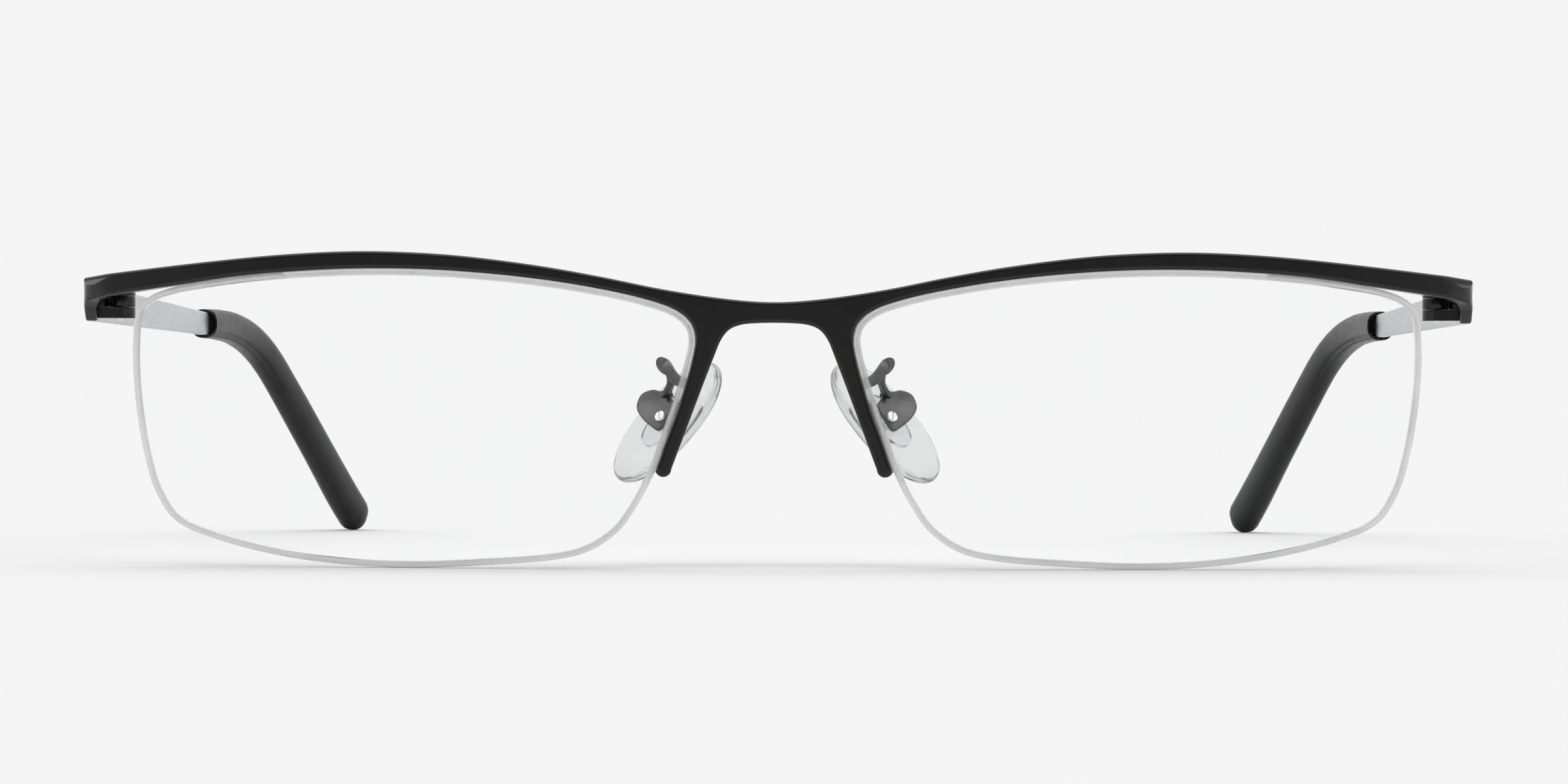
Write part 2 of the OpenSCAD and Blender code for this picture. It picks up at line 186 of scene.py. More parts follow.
# The insert inside the pad, and the boss on it that the screw holds
CORE_T = 0.8
CORE_W = 3.2
CORE_LEN = 6.4
CORE_R = 0.2
CORE_Y = -0.9
CORE_POWER = 2.4
BOSS_R = 0.9
BOSS_IN = -0.7
BOSS_GAP = 0.04
BOSS_BEVEL = 0.08
# The arm's paddle in the pad's frame: its thickness, its edges, where its back is, its outline
# round the screw as [across, along], and the dish that is pressed into its outer lobe
PLATE_T = 0.5
PLATE_R = 0.15
PLATE_Y = -1.9
PLATE_OUTLINE = [
    [-0.65, 0.35], [-0.8, -1.1], [0.7, -1.4], [2.4, -1.35], [3.7, -0.9], [4.3, 0.3],
    [3.65, 1.4], [2.6, 1.9], [2, 2.5], [1.2, 2.5], [0.9, 2.1], [-0.35, 1.75],
]
DISH_AT = (2.6, 0.5)
DISH_SPREAD = 1.6
DISH_DEPTH = 0.3
# The screw: its head has a base and two halves beside a slot, with heights from the paddle and
# the slot's place and half width in degrees
PAD_SCREW_AT = (-0.4, 0)
PAD_SCREW_R = 0.42
PAD_SCREW_MID = -1.2
PAD_SCREW_END = -0.65
PAD_HEAD_R = 0.55
HEAD_BASE_H = 0.16
HEAD_BASE_R = 0.05
HEAD_LOW = 0.14
HEAD_HIGH = 0.32
HEAD_R = 0.03
SLOT_AT = 35
SLOT_HALF = 9
# The arm's middle line and its width: [x, y, z, width]
ARM_LINE = [
    [7.8, 1.6, 18, 1.1], [8.7, 2.6, 18.1, 1.1], [9.6, 3.2, 18.4, 1.1], [10.2, 3.7, 19, 1.1],
    [10.7, 4.3, 19.7, 1.1], [10.9, 5.1, 20.1, 0.9], [10.8, 6.2, 20, 0.9],
    [10.5, 7.3, 19.3, 1], [10.4, 8.2, 18.4, 1], [10.7, 9, 17.6, 1], [11.1, 9.5, 16.8, 1.4],
]
ARM_T = 0.55
ARM_ACROSS = Vector((-0.7, 0, 0.7))
# The pressed oval on the arm's loop: its middle, width, length and dish, the way of its length,
# and the way that its back faces
LOBE_AT = Vector((10.95, 4.6, 19.8))
LOBE_W = 1.35
LOBE_LEN = 2.3
LOBE_DISH = 0.15
LOBE_WAY = Vector((0.65, 0, 0.76))
LOBE_BACK = Vector((-0.35, 0.85, -0.4))

# How far apart the points inside a sheet's faces are
FRONT_GRID = 0.9
LENS_GRID = 2.2
CORE_GRID = 0.6
SMALL_GRID = 0.3


# ---- Curves ----
def bent(a, b, c, d, t):
    """The point at t between b and c on the smooth curve through a, b, c and d."""
    square = t * t
    cube = square * t
    return (2 * b + (c - a) * t + (2 * a - 5 * b + 4 * c - d) * square
            + (3 * b - a - 3 * c + d) * cube) / 2


def curve(points, steps=CURVE_STEPS):
    """A smooth curve through the points."""
    p = np.array(points, float)
    last = len(p) - 1
    out = []
    for i in range(last):
        around = p[max(i - 1, 0)], p[i], p[i + 1], p[min(i + 2, last)]
        out += [bent(*around, j / steps) for j in range(steps)]
    return np.array(out + [p[last]])


def loop(points, steps=CURVE_STEPS):
    """A smooth closed curve through the points."""
    p = np.array(points, float)
    m = len(p)
    out = []
    for i in range(m):
        around = p[i - 1], p[i], p[(i + 1) % m], p[(i + 2) % m]
        out += [bent(*around, j / steps) for j in range(steps)]
    return np.array(out)


def arc(centre, radius, start, end, steps):
    """Points on an arc, with its angles in degrees."""
    angles = np.radians(np.linspace(start, end, steps + 1))
    return np.array(centre) + radius * np.stack([np.cos(angles), np.sin(angles)], 1)


def oval(width, height, steps, power=2.0):
    """A closed oval, which squares up as power rises above 2."""
    out = []
    for j in range(steps):
        a = 2 * math.pi * j / steps
        c, s = math.cos(a), math.sin(a)
        out.append([
            width / 2 * math.copysign(abs(c) ** (2 / power), c),
            height / 2 * math.copysign(abs(s) ** (2 / power), s),
        ])
    return np.array(out)


def inward(points):
    """Unit normals of a closed outline that point into it."""
    way = np.roll(points, -1, 0) - np.roll(points, 1, 0)
    way /= np.linalg.norm(way, axis=1)[:, None]
    x, z = points[:, 0], points[:, 1]
    area = np.sum(x * np.roll(z, -1) - np.roll(x, -1) * z)
    return math.copysign(1, area) * np.stack([-way[:, 1], way[:, 0]], 1)


def inset(points, d):
    return points + d * inward(points)


def rounded_edge(half_t, r, steps=4, run=None):
    """The edge of a sheet as [inset, depth], from its back face to its front face. It is rounded
    over r of the depth and run of the width."""
    run = run or r
    settle = 0.25 * run
    turn = [math.radians(90 * k / steps) for k in range(steps + 1)]
    front = [[run * (1 - math.cos(a)), half_t - r + r * math.sin(a)] for a in turn]
    front.append([run + settle, half_t])
    return [[d, -w] for d, w in reversed(front)] + front


# ---- Meshes: each shell is a list of places and a list of faces ----
def joined(*shells):
    verts, faces = [], []
    for v, f in shells:
        start = len(verts)
        verts += [tuple(p) for p in v]
        faces += [tuple(i + start for i in face) for face in f]
    return verts, faces


def loft(rings):
    """A solid through a list of rings, with its two ends closed by the last two faces."""
    m = len(rings[0])
    last = len(rings) - 1
    verts = [tuple(p) for ring in rings for p in ring]
    faces = []
    for i in range(last):
        for j in range(m):
            a = i * m + j
            b = i * m + (j + 1) % m
            faces.append((a, b, b + m, a + m))
    faces.append(tuple(range(m)))
    faces.append(tuple(last * m + j for j in range(m)))
    return verts, faces


def inside(outline, points):
    """Which of the points are inside a closed outline."""
    x, y = points[:, 0][:, None], points[:, 1][:, None]
    x0, y0 = outline[:, 0], outline[:, 1]
    x1, y1 = np.roll(x0, -1), np.roll(y0, -1)
    crosses = (y0 > y) != (y1 > y)
    rise = np.where(y1 == y0, 1, y1 - y0)
    at = x0 + (y - y0) / rise * (x1 - x0)
    return (np.sum(crosses & (x < at), 1) % 2) == 1


def filling(outline, grid):
    """A grid of points well inside an outline, and triangles over both."""
    clear_of_edge = 0.6 * grid
    low, high = outline.min(0), outline.max(0)
    xs = np.arange(low[0] + grid / 2, high[0], grid)
    ys = np.arange(low[1] + grid / 2, high[1], grid)
    points = np.array([[x + grid / 2 * (k % 2), y] for k, y in enumerate(ys) for x in xs])
    if len(points):
        points = points[inside(outline, points)]
    if len(points):
        apart = np.array([np.min(np.linalg.norm(outline - p, axis=1)) for p in points])
        points = points[apart > clear_of_edge]
    n = len(outline)
    flat = [Vector(p) for p in list(outline) + list(points)]
    edges = [(j, (j + 1) % n) for j in range(n)]
    _, _, faces, origins, _, _ = delaunay_2d_cdt(flat, edges, [], 1, 1e-6)
    return points, [tuple(origins[i][0] for i in face) for face in faces]


def slab(outline, edge, grid, surface):
    """A sheet with a closed outline. edge lists [inset, depth] from one face to the other, and
    surface gives the places of flat points at a depth."""
    n = len(outline)
    rings = [surface(inset(outline, d), w) for d, w in edge]
    verts, faces = loft(rings)
    faces = faces[:-2]
    for k in (0, len(edge) - 1):
        d, w = edge[k]
        points, cover = filling(inset(outline, d), grid)
        start = len(verts)
        if len(points):
            verts += [tuple(p) for p in surface(points, w)]
        faces += [tuple(k * n + i if i < n else start + i - n for i in face) for face in cover]
    return verts, faces


def place(x, y, z):
    return (x * MM, (y + FRONT_Y) * MM, z * MM)


def make(name, shell, side, finish, body, replaces, sharp=38, edge=None):
    """A mesh object from a shell, riding on a body in place of a CAD node. side is 1 for the
    wearer's left, -1 for the right and 0 for a piece that isn't mirrored. Edges that turn by more
    than sharp degrees stay crisp. edge is a second finish and the faces it is on."""
    verts, faces = shell
    turn = side or 1
    mesh = bpy.data.meshes.new(name)
    mesh.from_pydata([place(turn * x, y, z) for x, y, z in verts], [], faces)
    work = bmesh.new()
    work.from_mesh(mesh)
    bmesh.ops.recalc_face_normals(work, faces=work.faces)
    work.to_mesh(mesh)
    work.free()
    for face in mesh.polygons:
        face.use_smooth = True
    mesh.set_sharp_from_angle(angle=math.radians(sharp))
    mesh.materials.append(finish)
    if edge:
        mesh.materials.append(edge[0])
        for i in edge[1]:
            mesh.polygons[i].material_index = 1
    piece = bpy.data.objects.new(name, mesh)
    bpy.context.scene.collection.objects.link(piece)
    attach(piece, body)
    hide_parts(replaces)


# ---- The lens's curve, and the front's plan line ----
def lens_surface(points, depth):
    """Places on the lens's curve for [x, z] points, with depth towards the face."""
    points = np.asarray(points, float)
    x = points[:, 0]
    sine = (np.abs(x) - WRAP_X) / WRAP_R
    cosine = np.sqrt(1 - sine * sine)
    return np.stack([x - depth * sine, WRAP_R - (WRAP_R - depth) * cosine, points[:, 1]], 1)


def plan_line():
    """The front's middle line from its middle to the end of an end piece, [x, y]."""
    corner_x = END_X - CORNER_R * (1 - math.sin(CORNER_A))
    sine_0 = WRAP_X / WRAP_R
    bridge_push = BRIDGE_HALF / 2 * sine_0 / math.sqrt(1 - sine_0 * sine_0)
    x = np.linspace(0, corner_x, 220)
    y = lens_surface(np.stack([x, x], 1), 0)[:, 1]
    y -= bridge_push * np.maximum(0, 1 - x / BRIDGE_HALF) ** 2
    corner = [END_X - CORNER_R, y[-1] + CORNER_R * math.cos(CORNER_A)]
    bow = arc(corner, CORNER_R, math.degrees(CORNER_A) - 90, 0, 16)
    straight = np.linspace(bow[-1], [END_X, END_Y], END_STEPS + 1)
    return np.concatenate([np.stack([x, y], 1), bow[1:], straight[1:]])


PLAN = plan_line()
ALONG = np.concatenate([[0], np.cumsum(np.linalg.norm(np.diff(PLAN, axis=0), axis=1))])
PLAN_WAY = np.gradient(PLAN, ALONG, axis=0)
PLAN_WAY /= np.linalg.norm(PLAN_WAY, axis=1)[:, None]
# From here on the front only goes back, so a place on it can be found from its y
TURN_FROM = int(np.argmax(PLAN[:, 0] > WRAP_X + 10))
# Where along the front the corner starts and ends, as it thins to the end piece
THIN_TO = ALONG[-1 - END_STEPS]
THIN_FROM = THIN_TO - CORNER_R * (math.pi / 2 - CORNER_A)


def blank_x(points):
    """[x, z] points as [length along the front, z]."""
    return np.array([[np.interp(x, PLAN[:, 0], ALONG), z] for x, z in points])


def blank_y(points):
    """[y, z] points of the end piece's side view as [length along the front, z]."""
    back = PLAN[TURN_FROM:, 1]
    return np.array([[np.interp(y, back, ALONG[TURN_FROM:]), z] for y, z in points])


def front_surface(points, depth):
    """Places on the bent front for [length, z] points, with depth outwards."""
    points = np.asarray(points, float)
    side = np.where(points[:, 0] < 0, -1, 1)
    along = np.abs(points[:, 0])
    thinned = np.clip((along - THIN_FROM) / (THIN_TO - THIN_FROM), 0, 1) * (BAR_T - END_T) / BAR_T
    depth = depth * (1 - thinned) + thinned * BAR_T / 2
    x, y, way_x, way_y = (
        np.interp(along, ALONG, values)
        for values in (PLAN[:, 0], PLAN[:, 1], PLAN_WAY[:, 0], PLAN_WAY[:, 1])
    )
    return np.stack([side * (x + depth * way_y), y - depth * way_x, points[:, 1]], 1)


RIM = loop(RIM_METAL + RIM_FREE)
RIM_IN = inward(RIM)
LEG_I = (len(RIM_METAL) - 1) * CURVE_STEPS


# ---- Front ----
def end_corner(z, start, end):
    return arc([END_Y - END_CORNER_R, z], END_CORNER_R, start, end, 5)


def front_outline():
    """The closed outline of the front before it is bent, [length along it, z]."""
    # The top's curve comes in from the other side, so it is level in the middle
    x, z = BAR_TOP[1]
    top = curve([[-x, z]] + BAR_TOP)[CURVE_STEPS:]
    half = np.concatenate([
        blank_x(top),
        blank_y(END_TOP),
        blank_y(end_corner(END_HIGH - END_CORNER_R, 90, 0)),
        blank_y(end_corner(END_LOW + END_CORNER_R, 0, END_CORNER_TO)),
        curve(blank_y(END_BOTTOM), 3),
        curve(blank_x(BAR_BOTTOM)),
        blank_x(RIM[1:LEG_I]),
        blank_x(arc(LEG_END, LEG_END_R, LEG_END_FROM, LEG_END_TO, 8)),
        blank_x(curve(NOSE_SIDE, 5)),
    ])
    other = half[1:-1][::-1] * [-1, 1]
    return np.concatenate([half, other])


def make_front(finish):
    edge = rounded_edge(BAR_T / 2, EDGE_R, 6, EDGE_RUN)
    shell = slab(front_outline(), edge, FRONT_GRID, front_surface)
    make("front_metal_frame", shell, 0, finish, "front", "front_frame")


def rim_sweep(first, last, section):
    """A bar along the lens's rim. section lists [distance into the lens, depth]."""
    rings = []
    for k in range(first, last + 1):
        i = k % len(RIM)
        across = [lens_surface([RIM[i] + u * RIM_IN[i]], w)[0] for u, w in section]
        rings.append(across)
    return loft(rings)


def make_liner(side, name, finish):
    w, rib = LINER_W / 2, LINER_RIB_W / 2
    start, base, tip = LINER_GAP, LINER_BASE, LINER_RIB
    r = LINER_R
    half = [
        [start, w - r], [start + r, w], [base - r, w], [base, w - r], [base, rib + r],
        [base + r, rib], [tip - r, rib], [tip, rib - r],
    ]
    section = half + [[u, -d] for u, d in reversed(half)]
    shell = rim_sweep(LINER_FROM, LINER_TO, section)
    make(f"{name}_rim_liner_strip", shell, side, finish, "front",
         f"{name}_rim_liner", 60)


def make_lens(side, name, finish, frosted):
    """A lens with a groove round its edge. Its faces are polished and its edge is frosted."""
    face, groove = LENS_T / 2, GROOVE_W / 2
    half = [
        [LENS_GAP + LENS_BEVEL, face], [LENS_GAP, face - LENS_BEVEL], [LENS_GAP, groove],
        [GROOVE_IN - GROOVE_R, groove], [GROOVE_IN, groove - GROOVE_R],
    ]
    edge = half + [[d, -w] for d, w in reversed(half)]
    shell = slab(RIM, edge, LENS_GRID, lens_surface)
    rim_faces = range(len(RIM) * (len(edge) - 1))
    make(f"{name}_lens_blank", shell, side, finish, "front", f"{name}_lens", 25,
         (frosted, rim_faces))


def make_cord(side, name, finish):
    ring = arc([CORD_D / 2 + CORD_GAP, 0], CORD_D / 2, 0, 330, 11)
    shell = rim_sweep(LINER_TO - 1, len(RIM) + LINER_FROM, ring)
    make(f"{name}_nylon_line", shell, side, finish, "front",
         f"{name}_nylon_cord")


# ---- Nose pads ----
PAD_TURN = Matrix.Rotation(-PAD_LEAN, 3, "Y") @ Matrix.Rotation(PAD_SPLAY, 3, "Z")


def on_pad(points):
    """Places for points in the pad's own frame: x across it, y towards the nose, z along it."""
    return [tuple(PAD_AT + PAD_TURN @ Vector(p)) for p in points]


def pad_layer(points, y):
    return on_pad([(u, y, w) for u, w in points])


def ring_at(at, e, f, section):
    """A section's [u, w] points around a place, with u along e and w along f."""
    return [tuple(at + e * u + f * w) for u, w in np.asarray(section).tolist()]


def ribbon(line, across, thickness, sides=16, power=3.2):
    """A strip along a line of [x, y, z, width], flat across the given direction."""
    path = curve(line, 5)
    last = len(path) - 1
    rings = []
    for i, p in enumerate(path):
        way = Vector(path[min(i + 1, last)][:3] - path[max(i - 1, 0)][:3]).normalized()
        e = (across - across.dot(way) * way).normalized()
        f = way.cross(e)
        rings.append(ring_at(Vector(p[:3]), e, f, oval(p[3], thickness, sides, power)))
    return loft(rings)


def plate_dish(u, w):
    """How far the paddle's outer lobe is pressed towards the nose, for a point from the screw."""
    apart = (u - DISH_AT[0]) ** 2 + (w - DISH_AT[1]) ** 2
    return DISH_DEPTH * math.exp(-apart / DISH_SPREAD)


def pad_plate():
    outline = loop(PLATE_OUTLINE, 6)

    def surface(points, depth):
        middle = PLATE_Y + PLATE_T / 2
        return np.array(on_pad([
            (u + PAD_SCREW_AT[0], middle + plate_dish(u, w) + depth, w + PAD_SCREW_AT[1])
            for u, w in points
        ]))

    return slab(outline, rounded_edge(PLATE_T / 2, PLATE_R, 3), SMALL_GRID, surface)


def arm_lobe():
    """The pressed oval on the arm's loop."""
    back = LOBE_BACK.normalized()
    across = back.cross(LOBE_WAY).normalized()
    along = across.cross(back)

    def surface(points, depth):
        places = []
        for u, w in np.asarray(points).tolist():
            dish = LOBE_DISH * max(0, 1 - (2 * u / LOBE_W) ** 2 - (2 * w / LOBE_LEN) ** 2)
            places.append(tuple(LOBE_AT + across * u + along * w + back * (depth + dish)))
        return np.array(places)

    edge = rounded_edge(PLATE_T / 2, PLATE_R, 3)
    return slab(oval(LOBE_W, LOBE_LEN, 32), edge, SMALL_GRID, surface)


def make_pad_arm(side, name, finish):
    shell = joined(ribbon(ARM_LINE, ARM_ACROSS, ARM_T), arm_lobe(), pad_plate())
    make(f"{name}_stamped_arm", shell, side, finish, "front",
         f"{name}_pad_arm")


def screw_layer(outline, y0, y1, r):
    """A rounded layer of the pad's screw, from y0 to y1 along it."""
    middle = (y0 + y1) / 2

    def surface(points, depth):
        return np.array(pad_layer(points + np.array(PAD_SCREW_AT), middle + depth))

    return slab(outline, rounded_edge((y1 - y0) / 2, r, 3), SMALL_GRID, surface)


def make_pad_screw(side, name, finish):
    round_shaft = oval(2 * PAD_SCREW_R, 2 * PAD_SCREW_R, 32) + PAD_SCREW_AT
    shaft = [pad_layer(round_shaft, y) for y in (PLATE_Y, PAD_SCREW_MID, PAD_SCREW_END)]
    base = screw_layer(oval(2 * PAD_HEAD_R, 2 * PAD_HEAD_R, 40),
                       PLATE_Y - HEAD_BASE_H, PLATE_Y, HEAD_BASE_R)
    halves = [
        screw_layer(arc([0, 0], PAD_HEAD_R, a + SLOT_HALF, a + 180 - SLOT_HALF, 10),
                    PLATE_Y - HEAD_HIGH, PLATE_Y - HEAD_LOW, HEAD_R)
        for a in (SLOT_AT, SLOT_AT + 180)
    ]
    shell = joined(loft(shaft), base, *halves)
    make(f"{name}_pad_slotted_screw", shell, side, finish, f"{name}_nose_pad",
         f"{name}_pad_screw")


def make_pad_core(side, name, finish):
    middle = CORE_Y + CORE_T / 2
    boss_top = PLATE_Y + PLATE_T + BOSS_GAP

    def surface(points, depth):
        return np.array(pad_layer(points, middle + depth))

    outline = oval(CORE_W, CORE_LEN, 48, CORE_POWER)
    body = slab(outline, rounded_edge(CORE_T / 2, CORE_R), CORE_GRID, surface)
    boss = [pad_layer(oval(2 * r, 2 * r, 40) + PAD_SCREW_AT, y)
            for r, y in ((BOSS_R - BOSS_BEVEL, boss_top), (BOSS_R, boss_top + BOSS_BEVEL),
                         (BOSS_R, BOSS_IN))]
    make(f"{name}_pad_core_clear", joined(body, loft(boss)), side, finish,
         f"{name}_nose_pad", f"{name}_pad_core")


def make_nose_pad(side, name, finish):
    rings = []
    for angle in range(-PAD_LAST_LAYER, PAD_LAST_LAYER + 1, PAD_LAYER):
        a = math.radians(angle)
        share = math.cos(a)
        if angle < 0:
            y = PAD_MID - PAD_BACK * math.sqrt(1 - share ** 4)
        else:
            y = PAD_MID + PAD_DOME * math.sin(a)
        rings.append(pad_layer(oval(PAD_W * share, PAD_LEN * share, 72, PAD_POWER), y))
    make(f"{name}_silicone_pad", loft(rings), side, finish, f"{name}_nose_pad",
         f"{name}_nose_pad")


# ---- Temples ----
def bar_section(width, height, r, steps=3):
    """A rectangle with rounded corners, as [across, up]."""
    corners = [(width / 2 - r, height / 2 - r, 0), (r - width / 2, height / 2 - r, 90),
               (r - width / 2, r - height / 2, 180), (width / 2 - r, r - height / 2, 270)]
    return np.concatenate([arc([x, z], r, a, a + 90, steps) for x, z, a in corners])


def make_temple(side, name, finish):
    x0, x1 = FRONT_W / 2 - TEMPLE_T / 2, MOUTH[0]
    slope = (x1 - x0) / (MOUTH[1] - TEMPLE_Y)

    def ring(y, width, height, r):
        x = x0 + slope * (y - TEMPLE_Y)
        z = TEMPLE_Z + (MOUTH[2] - TEMPLE_Z) * min(1, (y - TEMPLE_Y) / (MOUTH[1] - TEMPLE_Y))
        return [(x + u, y, z + w) for u, w in bar_section(width, height, r)]

    def bar_height(y):
        return TEMPLE_H + (MOUTH_H - TEMPLE_H) * (y - TEMPLE_Y) / (MOUTH[1] - TEMPLE_Y)

    soft = TEMPLE_SOFT
    rings = [ring(TEMPLE_Y, TEMPLE_T - 2 * soft, TEMPLE_H - 2 * soft, TEMPLE_END_R)]
    for y in np.linspace(TEMPLE_Y + soft, TEMPLE_TO, 30):
        rings.append(ring(y, TEMPLE_T, bar_height(y), TEMPLE_R))
    rings += [ring(y, *TANG, TANG_R) for y in (TANG_FROM, TANG_TO)]
    make(f"{name}_temple_bar", loft(rings), side, finish, f"{name}_temple",
         f"{name}_temple")


def tip_section(width, height, crease, steps=72):
    """The tip's section, [across, up] with across away from the head. crease is the depth of a
    soft groove along the lower inner edge."""
    points = oval(width, height, steps, TIP_POWER)
    turn = 2 * math.pi * np.arange(steps) / steps
    share = crease * np.exp(-((turn - CREASE_AT) / CREASE_SPREAD) ** 2)
    reach = np.linalg.norm(points, axis=1)
    return points * (1 - share / reach)[:, None]


def make_tip(side, name, finish):
    path = curve(TIP_LINE, 6)
    last = len(path) - 1
    ways = [Vector(path[min(i + 1, last)][:3] - path[max(i - 1, 0)][:3]).normalized()
            for i in range(last + 1)]
    up = Vector((0, 0, 1))

    def ring(at, way, width, height, crease, scallop=0.0):
        e = way.cross(up).normalized()
        section = tip_section(width, height, crease)
        places = ring_at(at, e, e.cross(way), section)
        backs = [scallop * max(0, -u / width * 2) ** 2 for u, _ in section.tolist()]
        return [tuple(Vector(p) + way * back) for p, back in zip(places, backs)]

    def mouth_ring(deep, width, height, scallop):
        return ring(Vector(path[0][:3]) + ways[0] * deep, ways[0], width, height, 0, scallop)

    w0, h0 = path[0][3], path[0][4]
    hollow_w, hollow_h = w0 - 2 * TIP_WALL, h0 - 2 * TIP_WALL
    mouth = [
        mouth_ring(6, *TIP_HOLLOW_END, 0),
        mouth_ring(3, hollow_w - 2 * TIP_LIP, hollow_h - 2 * TIP_LIP, 0),
        mouth_ring(2 * TIP_LIP, hollow_w, hollow_h, TIP_SCALLOP),
        mouth_ring(0, hollow_w + TIP_LIP, hollow_h + TIP_LIP, TIP_SCALLOP),
        mouth_ring(0, w0 - TIP_LIP, h0 - TIP_LIP, TIP_SCALLOP),
        mouth_ring(TIP_LIP, w0, h0, TIP_SCALLOP),
    ]
    body = []
    for i in range(1, last + 1):
        fade = min(1, max(0, (CREASE_END - path[i][1]) / CREASE_FADE))
        body.append(ring(Vector(path[i][:3]), ways[i], path[i][3], path[i][4],
                         CREASE_DEPTH * fade))
    ends = []
    for degrees in (20, 40, 58, 72, 82):
        a = math.radians(degrees)
        at = Vector(path[last][:3]) + ways[last] * (TIP_END_R * math.sin(a))
        ends.append(ring(at, ways[last], path[last][3] * math.cos(a),
                         path[last][4] * math.cos(a), 0))
    make(f"{name}_temple_tip_sleeve", loft(mouth + body + ends), side, finish,
         f"{name}_temple", f"{name}_temple_tip", 60)


# ---- Hinges keep their CAD shape, with softened edges ----
def soften(node, finish, width=0.1):
    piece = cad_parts[node]
    piece.data.materials.clear()
    piece.data.materials.append(finish)
    weld = piece.modifiers.new("weld", "WELD")
    weld.merge_threshold = 1e-6
    bevel = piece.modifiers.new("bevel", "BEVEL")
    bevel.width = width * MM
    bevel.segments = 3
    bevel.limit_method = "ANGLE"
    bevel.angle_limit = math.radians(50)


# ---- Materials ----
class Graph:
    """A material's nodes. Every texture is read in the piece's own coordinates, in metres."""

    def __init__(self, name):
        self.material = bpy.data.materials.new(name)
        self.material.use_nodes = True
        self.tree = self.material.node_tree
        self.shader = self.tree.nodes["Principled BSDF"]
        self.place = self.node("ShaderNodeTexCoord").outputs["Object"]

    def node(self, kind, **values):
        made = self.tree.nodes.new(kind)
        for key, value in values.items():
            setattr(made, key, value)
        return made

    def link(self, source, target):
        self.tree.links.new(source, target)

    def noise(self, size, detail=3.0, stretch=(1, 1, 1)):
        """A noise with features of about size millimetres, drawn out by stretch."""
        mapping = self.node("ShaderNodeMapping")
        mapping.inputs["Scale"].default_value = [1 / s for s in stretch]
        self.link(self.place, mapping.inputs["Vector"])
        texture = self.node("ShaderNodeTexNoise")
        texture.inputs["Scale"].default_value = 1 / (size * MM)
        texture.inputs["Detail"].default_value = detail
        self.link(mapping.outputs["Vector"], texture.inputs["Vector"])
        return texture.outputs["Fac"]

    def colours(self, value, stops):
        """value turned into a colour by stops of (position, colour)."""
        ramp = self.node("ShaderNodeValToRGB")
        while len(ramp.color_ramp.elements) < len(stops):
            ramp.color_ramp.elements.new(0.5)
        for element, (at, colour) in zip(ramp.color_ramp.elements, stops):
            element.position = at
            element.color = (*colour, 1)
        self.link(value, ramp.inputs["Fac"])
        return ramp.outputs["Color"]

    def range(self, value, low, high, start=0.3, end=0.7):
        """value from start to end turned into a number from low to high."""
        mapped = self.node("ShaderNodeMapRange")
        mapped.inputs["From Min"].default_value = start
        mapped.inputs["From Max"].default_value = end
        mapped.inputs["To Min"].default_value = low
        mapped.inputs["To Max"].default_value = high
        self.link(value, mapped.inputs["Value"])
        return mapped.outputs["Result"]

    def blended(self, share, first, second):
        mix = self.node("ShaderNodeMix", data_type="RGBA")
        self.link(share, mix.inputs[0])
        self.link(first, mix.inputs[6])
        self.link(second, mix.inputs[7])
        return mix.outputs[2]

    def set(self, **values):
        for key, value in values.items():
            socket = self.shader.inputs[key.replace("_", " ")]
            if hasattr(value, "links"):
                self.link(value, socket)
            else:
                socket.default_value = value

    def bump(self, height, depth, strength=1.0):
        """A bump from height, depth millimetres deep."""
        bump = self.node("ShaderNodeBump")
        bump.inputs["Strength"].default_value = strength
        bump.inputs["Distance"].default_value = depth * MM
        self.link(height, bump.inputs["Height"])
        self.link(bump.outputs["Normal"], self.shader.inputs["Normal"])


def painted_metal(name, dark, light, edge_highlight, rough, shine):
    """Satin paint on metal, with a painted highlight in a lighter, warmer colour along its edges.
    """
    g = Graph(name)
    cloud = g.noise(2.5, 4)
    paint = g.colours(cloud, [(0.35, dark), (0.65, light)])
    # Convex edges, found by pointiness, get a lighter, warmer colour: a painted highlight for
    # light caught by the rounded edges.
    edges = g.node("ShaderNodeNewGeometry").outputs["Pointiness"]
    share = g.range(edges, 0, 0.7, start=0.53, end=0.62)
    edge_highlight_colour = g.colours(cloud, [(0.3, edge_highlight), (0.7, light)])
    g.set(
        Base_Color=g.blended(share, paint, edge_highlight_colour),
        Roughness=g.range(g.noise(0.8, 3), rough - 0.05, rough + 0.05),
        Specular_IOR_Level=shine,
        Coat_Weight=0.6,
        Coat_Roughness=0.18,
    )
    g.bump(g.noise(0.09, 2), 0.0015, 0.4)
    return g.material


def brushed_metal(name, dark, light, rough, stretch):
    """Bare metal with fine brush lines along stretch's longest way."""
    g = Graph(name)
    lines = g.noise(0.12, 4, stretch)
    g.set(
        Base_Color=g.colours(lines, [(0.3, dark), (0.7, light)]),
        Metallic=1.0,
        Roughness=g.range(g.noise(1.5, 3, stretch), rough - 0.06, rough + 0.06),
    )
    g.bump(lines, 0.003, 0.6)
    return g.material


def moulded_plastic(name, dark, light, rough, shine):
    """Dense dark plastic with a fine moulded grain."""
    g = Graph(name)
    g.set(
        Base_Color=g.colours(g.noise(3, 4), [(0.3, dark), (0.7, light)]),
        Roughness=g.range(g.noise(1.2, 3), rough - 0.04, rough + 0.04),
        Specular_IOR_Level=shine,
    )
    g.bump(g.noise(0.15, 2), 0.004, 0.4)
    return g.material


def clear(name, dark, light, rough, ior, bump_size, bump_depth, through=1.0):
    """A clear material with faint unevenness in its tint, finish and surface. through is the
    share of the light that passes into it."""
    g = Graph(name)
    g.set(
        Base_Color=g.colours(g.noise(4, 3), [(0.3, dark), (0.7, light)]),
        Roughness=g.range(g.noise(1.5, 3), rough[0], rough[1]),
        Transmission_Weight=through,
        IOR=ior,
    )
    g.bump(g.noise(bump_size, 2), bump_depth, 0.5)
    return g.material


def grey(value):
    return (value, value, value)


# ---- Studio ----
# The floor, with half its side in metres, and the surround's plain brightness
FLOOR_GREY = 0.667
FLOOR_HALF = 20.0
BACKDROP = 0.913
